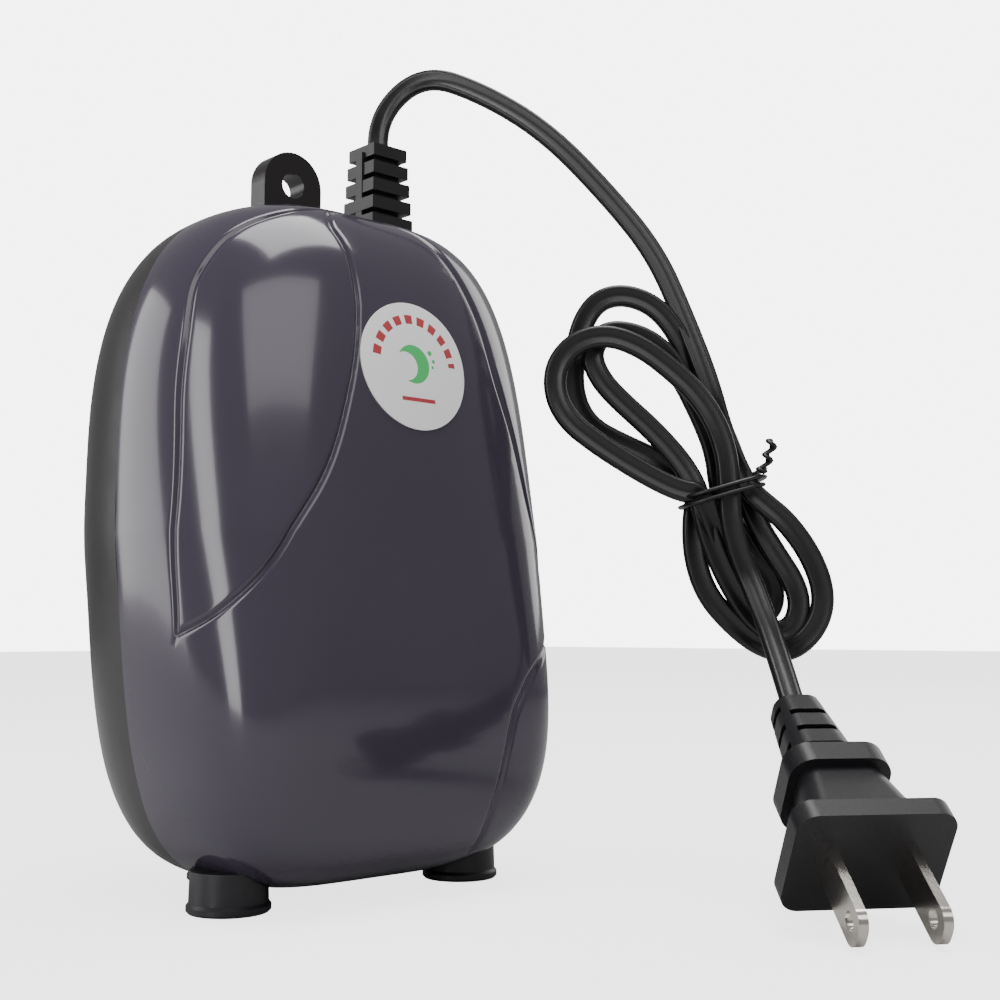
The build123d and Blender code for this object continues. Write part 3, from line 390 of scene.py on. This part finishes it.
def trueNormals(obj, places, normals):  # exact surface directions where the outer skin is
    tree = kdtree.KDTree(len(places))
    for i, p in enumerate(places):
        tree.insert(Vector(p) * mm, i)
    tree.balance()
    found = [tree.find(v.co) for v in obj.data.vertices]
    loops = [(0.0, 0.0, 0.0)] * len(obj.data.loops)
    for polygon in obj.data.polygons:
        for at in polygon.loop_indices:
            _, i, gap = found[obj.data.loops[at].vertex_index]
            if gap < meshParts["skinGap"] and polygon.normal.dot(Vector(normals[i])) > meshParts["skinTurn"]:
                loops[at] = tuple(normals[i])
    obj.data.normals_split_custom_set(loops)


frontCover, outerPlaces, outerNormals = buildCover()
pocketParts = dict(radius=7.2, depth=10.0, midZ=1.8, x=24.8, y=-12.6, sides=96)
for side in (-1, 1):
    deselectAll()
    bpy.ops.mesh.primitive_cylinder_add(vertices=pocketParts["sides"], radius=pocketParts["radius"] * mm,
                                        depth=pocketParts["depth"] * mm,
                                        location=(side * pocketParts["x"] * mm, pocketParts["y"] * mm,
                                                  pocketParts["midZ"] * mm))
    cutter = bpy.context.object
    activate(frontCover)
    cut = frontCover.modifiers.new("pocket", "BOOLEAN")
    cut.object = cutter
    cut.operation = "DIFFERENCE"
    cut.solver = "EXACT"
    bpy.ops.object.modifier_apply(modifier=cut.name)
    bpy.data.objects.remove(cutter, do_unlink=True)
activate(frontCover)
bpy.ops.object.shade_smooth_by_angle(angle=math.radians(meshParts["sharpAngle"]))
trueNormals(frontCover, outerPlaces, outerNormals)
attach(frontCover, "pump")
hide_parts("front_cover")
print("front cover faces", len(frontCover.data.polygons))

tieParts = dict(wire=0.65, wide=1.15, flat=0.7, sides=10, halfWide=7.6, halfDeep=5.9, points=50, perTurn=24,
                start=0.5, corner=0.75, lean=0.32, rise=1.5, outward=0.6)
twistParts = dict(points=15, turn=1.15, radius=0.6, start=(6.9, 2.4, 4.2), step=(0.12, 0.45, 0.1))
tiePath = []
for i in range(tieParts["points"]):
    angle = 2 * math.pi * i / tieParts["perTurn"] + tieParts["start"]
    across = tieParts["halfWide"] * math.copysign(abs(math.cos(angle)) ** tieParts["corner"], math.cos(angle))
    deep = tieParts["halfDeep"] * math.copysign(abs(math.sin(angle)) ** tieParts["corner"], math.sin(angle))
    up = tieParts["lean"] * across + tieParts["rise"] * (i / tieParts["perTurn"] - 1.0)
    tiePath.append(hankPoint((across, up, deep + tieParts["outward"])) * mm)
for i in range(1, twistParts["points"]):
    turn = i * twistParts["turn"]
    centre = Vector([a + b * i for a, b in zip(twistParts["start"], twistParts["step"])])
    swingX = twistParts["radius"] * math.cos(turn)
    swingZ = twistParts["radius"] * math.sin(turn)
    tiePath.append(hankPoint((centre.x + swingX, centre.y, centre.z + swingZ)) * mm)
wireAngles = [2 * math.pi * i / tieParts["sides"] for i in range(tieParts["sides"])]
wireRing = [(tieParts["wire"] * math.cos(a) * mm * tieParts["wide"],
             tieParts["wire"] * math.sin(a) * mm * tieParts["flat"]) for a in wireAngles]
tieRoute = nurbsRoute("tieRoute", tiePath)
wireTie = sweepSection("wireTie", curvePoints(tieRoute), wireRing, (0.0, 0.0, 1.0))
bpy.data.objects.remove(tieRoute, do_unlink=True)
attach(wireTie, "pump")
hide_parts("twist_tie")
print("tie built")


grainParts = dict(detail=4.0, distance=0.0002, smudgeScale=38.0, smudgeDetail=5.0)


def newGroup(name, outputs):
    group = bpy.data.node_groups.new(name, "ShaderNodeTree")
    group.interface.new_socket("Scale", in_out="INPUT", socket_type="NodeSocketFloat")
    group.interface.new_socket("Amount", in_out="INPUT", socket_type="NodeSocketFloat")
    for label, kind in outputs:
        group.interface.new_socket(label, in_out="OUTPUT", socket_type=kind)
    return group


def buildGrain():
    group = newGroup("grain", (("Normal", "NodeSocketVector"), ("Smudge", "NodeSocketFloat")))
    nodes, links = group.nodes, group.links
    inlet = nodes.new("NodeGroupInput")
    outlet = nodes.new("NodeGroupOutput")
    coords = nodes.new("ShaderNodeTexCoord")
    fine = nodes.new("ShaderNodeTexNoise")
    fine.inputs["Detail"].default_value = grainParts["detail"]
    links.new(coords.outputs["Object"], fine.inputs["Vector"])
    links.new(inlet.outputs["Scale"], fine.inputs["Scale"])
    bump = nodes.new("ShaderNodeBump")
    bump.inputs["Distance"].default_value = grainParts["distance"]
    links.new(inlet.outputs["Amount"], bump.inputs["Strength"])
    links.new(fine.outputs["Fac"], bump.inputs["Height"])
    soft = nodes.new("ShaderNodeTexNoise")
    soft.inputs["Scale"].default_value = grainParts["smudgeScale"]
    soft.inputs["Detail"].default_value = grainParts["smudgeDetail"]
    links.new(coords.outputs["Object"], soft.inputs["Vector"])
    links.new(bump.outputs["Normal"], outlet.inputs["Normal"])
    links.new(soft.outputs["Fac"], outlet.inputs["Smudge"])
    return group


grainGroup = buildGrain()


def material(name, color, rough, metal=0.0, grain=900.0, bump=0.1, spread=0.06, coat=0.0, sheen=0.0,
             specular=0.5, vary=0.08):
    mat = bpy.data.materials.new(name)
    mat.use_nodes = True
    nodes, links = mat.node_tree.nodes, mat.node_tree.links
    shader = nodes["Principled BSDF"]
    shader.inputs["Metallic"].default_value = metal
    shader.inputs["Specular IOR Level"].default_value = specular
    shader.inputs["Coat Weight"].default_value = coat
    shader.inputs["Coat Roughness"].default_value = 0.06
    shader.inputs["Sheen Weight"].default_value = sheen
    group = nodes.new("ShaderNodeGroup")
    group.node_tree = grainGroup
    group.inputs["Scale"].default_value = grain
    group.inputs["Amount"].default_value = bump
    ramp = nodes.new("ShaderNodeMix")
    ramp.data_type = "RGBA"
    ramp.inputs["A"].default_value = tuple(c * (1 - vary) for c in color) + (1,)
    ramp.inputs["B"].default_value = tuple(min(1, c * (1 + vary)) for c in color) + (1,)
    links.new(group.outputs["Smudge"], ramp.inputs["Factor"])
    links.new(ramp.outputs["Result"], shader.inputs["Base Color"])
    rub = nodes.new("ShaderNodeMapRange")
    rub.inputs["To Min"].default_value = max(0.02, rough - spread)
    rub.inputs["To Max"].default_value = rough + spread
    links.new(group.outputs["Smudge"], rub.inputs["Value"])
    links.new(rub.outputs["Result"], shader.inputs["Roughness"])
    links.new(group.outputs["Normal"], shader.inputs["Normal"])
    return mat


looks = {
    "front_plastic": material("frontPlastic", (0.046, 0.037, 0.057), 0.15, grain=500, bump=0.02, spread=0.03,
                              coat=0.3, vary=0.05),
    "rear_plastic": material("rearPlastic", (0.012, 0.0095, 0.0105), 0.26, grain=1400, bump=0.05, vary=0.12),
    "black_rubber": material("reliefRubber", (0.010, 0.009, 0.011), 0.42, grain=1800, bump=0.12),
    "foot_rubber": material("footRubber", (0.008, 0.008, 0.011), 0.42, grain=1600, bump=0.15),
    "screw_steel": material("screwSteel", (0.62, 0.61, 0.58), 0.3, metal=1.0, grain=2400, bump=0.08),
    "felt": material("felt", (0.72, 0.71, 0.66), 0.95, grain=3000, bump=0.8, sheen=0.4),
    "core_steel": material("coreSteel", (0.07, 0.07, 0.075), 0.5, metal=0.3, grain=1500, bump=0.2),
    "bobbin_plastic": material("bobbinPlastic", (0.66, 0.62, 0.52), 0.5, grain=1500, bump=0.06),
    "copper": material("copperWire", (0.55, 0.20, 0.07), 0.32, metal=1.0, grain=2600, bump=0.3),
    "tape": material("coilTape", (0.62, 0.45, 0.08), 0.38, grain=1200, bump=0.05),
    "chamber_plastic": material("chamberPlastic", (0.05, 0.05, 0.055), 0.45, grain=1700, bump=0.1),
    "valve_rubber": material("valveRubber", (0.03, 0.03, 0.03), 0.6, grain=1900, bump=0.15),
    "wire_insulation": material("wireInsulation", (0.35, 0.03, 0.02), 0.45, grain=1500, bump=0.05),
    "crimp_brass": material("crimpBrass", (0.65, 0.48, 0.22), 0.35, metal=1.0, grain=1900, bump=0.1),
    "cord_pvc": material("cordPvc", (0.0062, 0.0055, 0.0066), 0.36, grain=1500, bump=0.1, spread=0.08),
    "tie_wire": material("tieWire", (0.007, 0.007, 0.008), 0.34, grain=1500, bump=0.05),
    "plug_pvc": material("plugPvc", (0.0085, 0.0078, 0.0095), 0.38, grain=1900, bump=0.14, spread=0.08),
    "blade_nickel": material("bladeNickel", (0.70, 0.66, 0.60), 0.2, metal=1.0, grain=900, bump=0.05),
    "arm_plastic": material("armPlastic", (0.66, 0.66, 0.62), 0.45, grain=1500, bump=0.08),
    "magnet": material("magnet", (0.12, 0.12, 0.125), 0.45, metal=0.6, grain=2200, bump=0.25),
}


def mathNode(nodes, links, operation, a, b=None):
    node = nodes.new("ShaderNodeMath")
    node.operation = operation
    for i, value in enumerate((a, b)):
        if value is None:
            continue
        if isinstance(value, (int, float)):
            node.inputs[i].default_value = value
        else:
            links.new(value, node.inputs[i])
    return node.outputs[0]


labelPrint = dict(moveX=0.0004, midZ=0.0904, ringOut=9.0, ringIn=7.4, ringFrom=0.6, dashes=20.0,
                  dashGap=-0.35, barHalf=3.6, barZ=6.0, barHigh=0.35,
                  crescent=(-0.6, 0.2, 3.4), bite=(-2.3, -0.3, 2.5),
                  dots=((3.2, 2.6, 0.45), (3.9, 1.2, 0.35), (3.6, 0.1, 0.28)),
                  red=(0.42, 0.05, 0.06, 1), green=(0.06, 0.50, 0.14, 1))


def labelMaterial():  # generic print: dashed red arc, green crescent, dots and a bar
    mat = material("labelPaper", (0.86, 0.86, 0.87), 0.34, grain=1200, bump=0.02, vary=0.01)
    nodes, links = mat.node_tree.nodes, mat.node_tree.links
    shader = nodes["Principled BSDF"]
    coords = nodes.new("ShaderNodeTexCoord")
    split = nodes.new("ShaderNodeSeparateXYZ")
    links.new(coords.outputs["Object"], split.inputs[0])
    x = mathNode(nodes, links, "ADD", split.outputs[0], labelPrint["moveX"])
    x = mathNode(nodes, links, "MULTIPLY", x, 1000.0)
    z = mathNode(nodes, links, "SUBTRACT", split.outputs[2], labelPrint["midZ"])
    z = mathNode(nodes, links, "MULTIPLY", z, 1000.0)

    def disc(cx, cz, r):
        dx = mathNode(nodes, links, "SUBTRACT", x, cx)
        dz = mathNode(nodes, links, "SUBTRACT", z, cz)
        square = mathNode(nodes, links, "ADD", mathNode(nodes, links, "MULTIPLY", dx, dx),
                          mathNode(nodes, links, "MULTIPLY", dz, dz))
        return mathNode(nodes, links, "LESS_THAN", square, r * r)

    def minus(a, b):
        return mathNode(nodes, links, "MULTIPLY", a, mathNode(nodes, links, "SUBTRACT", 1.0, b))

    ring = minus(disc(0, 0, labelPrint["ringOut"]), disc(0, 0, labelPrint["ringIn"]))
    above = mathNode(nodes, links, "GREATER_THAN", z, labelPrint["ringFrom"])
    angle = mathNode(nodes, links, "ARCTAN2", z, x)
    wave = mathNode(nodes, links, "SINE", mathNode(nodes, links, "MULTIPLY", angle, labelPrint["dashes"]))
    dashes = mathNode(nodes, links, "GREATER_THAN", wave, labelPrint["dashGap"])
    red = mathNode(nodes, links, "MULTIPLY", mathNode(nodes, links, "MULTIPLY", ring, above), dashes)
    barX = mathNode(nodes, links, "LESS_THAN", mathNode(nodes, links, "ABSOLUTE", x), labelPrint["barHalf"])
    barGap = mathNode(nodes, links, "ABSOLUTE", mathNode(nodes, links, "ADD", z, labelPrint["barZ"]))
    barZ = mathNode(nodes, links, "LESS_THAN", barGap, labelPrint["barHigh"])
    red = mathNode(nodes, links, "MAXIMUM", red, mathNode(nodes, links, "MULTIPLY", barX, barZ))
    green = minus(disc(*labelPrint["crescent"]), disc(*labelPrint["bite"]))
    for cx, cz, r in labelPrint["dots"]:
        green = mathNode(nodes, links, "MAXIMUM", green, disc(cx, cz, r))
    base = [link for link in links if link.to_socket == shader.inputs["Base Color"]][0].from_socket
    first = nodes.new("ShaderNodeMix")
    first.data_type = "RGBA"
    links.new(red, first.inputs["Factor"])
    links.new(base, first.inputs["A"])
    first.inputs["B"].default_value = labelPrint["red"]
    second = nodes.new("ShaderNodeMix")
    second.data_type = "RGBA"
    links.new(green, second.inputs["Factor"])
    links.new(first.outputs["Result"], second.inputs["A"])
    second.inputs["B"].default_value = labelPrint["green"]
    links.new(second.outputs["Result"], shader.inputs["Base Color"])
    return mat


looks["label_paper"] = labelMaterial()
slotOf = {row["node"]: row["material_slot"] for row in frame["record"]["subparts"]}
for name, obj in frame["nodes"].items():
    obj.data.materials.clear()
    obj.data.materials.append(looks[slotOf[name]])
for obj, slotName in ((twinCord, "cord_pvc"), (frontCover, "front_plastic"), (wireTie, "tie_wire")):
    obj.data.materials.clear()
    obj.data.materials.append(looks[slotName])
print("materials set")

studio = dict(floor=6.0, floorZ=-0.0002, floorRough=0.8, floorShine=0.1, world=0.3, backdrop=6.0,
              floorTone=0.5, floorGlow=2.6)
deselectAll()
bpy.ops.mesh.primitive_plane_add(size=studio["floor"], location=(0, 0, studio["floorZ"]))
floor = bpy.context.object
floor.name = "floor"
floorMat = bpy.data.materials.new("floorPaint")
floorMat.use_nodes = True
floorShader = floorMat.node_tree.nodes["Principled BSDF"]
floorShader.inputs["Base Color"].default_value = (studio["floorTone"],) * 3 + (1,)
floorShader.inputs["Roughness"].default_value = studio["floorRough"]
floorShader.inputs["Specular IOR Level"].default_value = studio["floorShine"]
floorPath = floorMat.node_tree.nodes.new("ShaderNodeLightPath")
floorGlow = floorMat.node_tree.nodes.new("ShaderNodeMapRange")
floorGlow.inputs["To Max"].default_value = studio["floorGlow"]
floorMat.node_tree.links.new(floorPath.outputs["Is Camera Ray"], floorGlow.inputs["Value"])
floorMat.node_tree.links.new(floorGlow.outputs["Result"], floorShader.inputs["Emission Strength"])
floorShader.inputs["Emission Color"].default_value = (1, 1, 1, 1)
floor.data.materials.append(floorMat)

world = bpy.data.worlds.new("studio")
bpy.context.scene.world = world
world.use_nodes = True
worldNodes = world.node_tree.nodes
worldLinks = world.node_tree.links
seen = worldNodes.new("ShaderNodeLightPath")
level = worldNodes.new("ShaderNodeMapRange")
level.inputs["To Min"].default_value = studio["world"]
level.inputs["To Max"].default_value = studio["backdrop"]
worldLinks.new(seen.outputs["Is Camera Ray"], level.inputs["Value"])
worldNodes["Background"].inputs["Color"].default_value = (1, 1, 1, 1)
worldLinks.new(level.outputs["Result"], worldNodes["Background"].inputs["Strength"])


def softLight(name, place, target, size, power, sizeY):
    data = bpy.data.lights.new(name, "AREA")
    data.energy = power
    data.shape = "RECTANGLE"
    data.size = size
    data.size_y = sizeY
    obj = bpy.data.objects.new(name, data)
    bpy.context.collection.objects.link(obj)
    obj.location = place
    obj.rotation_euler = (Vector(target) - Vector(place)).to_track_quat("-Z", "Y").to_euler()


# each light: name, place, target, width, power, height
softLights = (
    ("topBox", (0.02, -0.12, 0.75), (0.0, 0.0, 0.08), 0.5, 5.0, 0.42),
    ("leftBox", (-0.75, -0.15, 0.25), (0.0, 0.0, 0.06), 0.2, 2.4, 0.6),
    ("backLeftBox", (-0.62, 0.52, 0.2), (0.0, 0.0, 0.06), 0.5, 4.5, 0.8),
    ("frontBox", (-0.35, -0.95, 0.85), (0.0, 0.0, 0.06), 0.9, 3.6, 0.5),
    ("rightBox", (1.0, 0.1, 0.5), (0.0, 0.0, 0.06), 0.4, 2.0, 0.8))
for light in softLights:
    softLight(*light)
print("studio set")
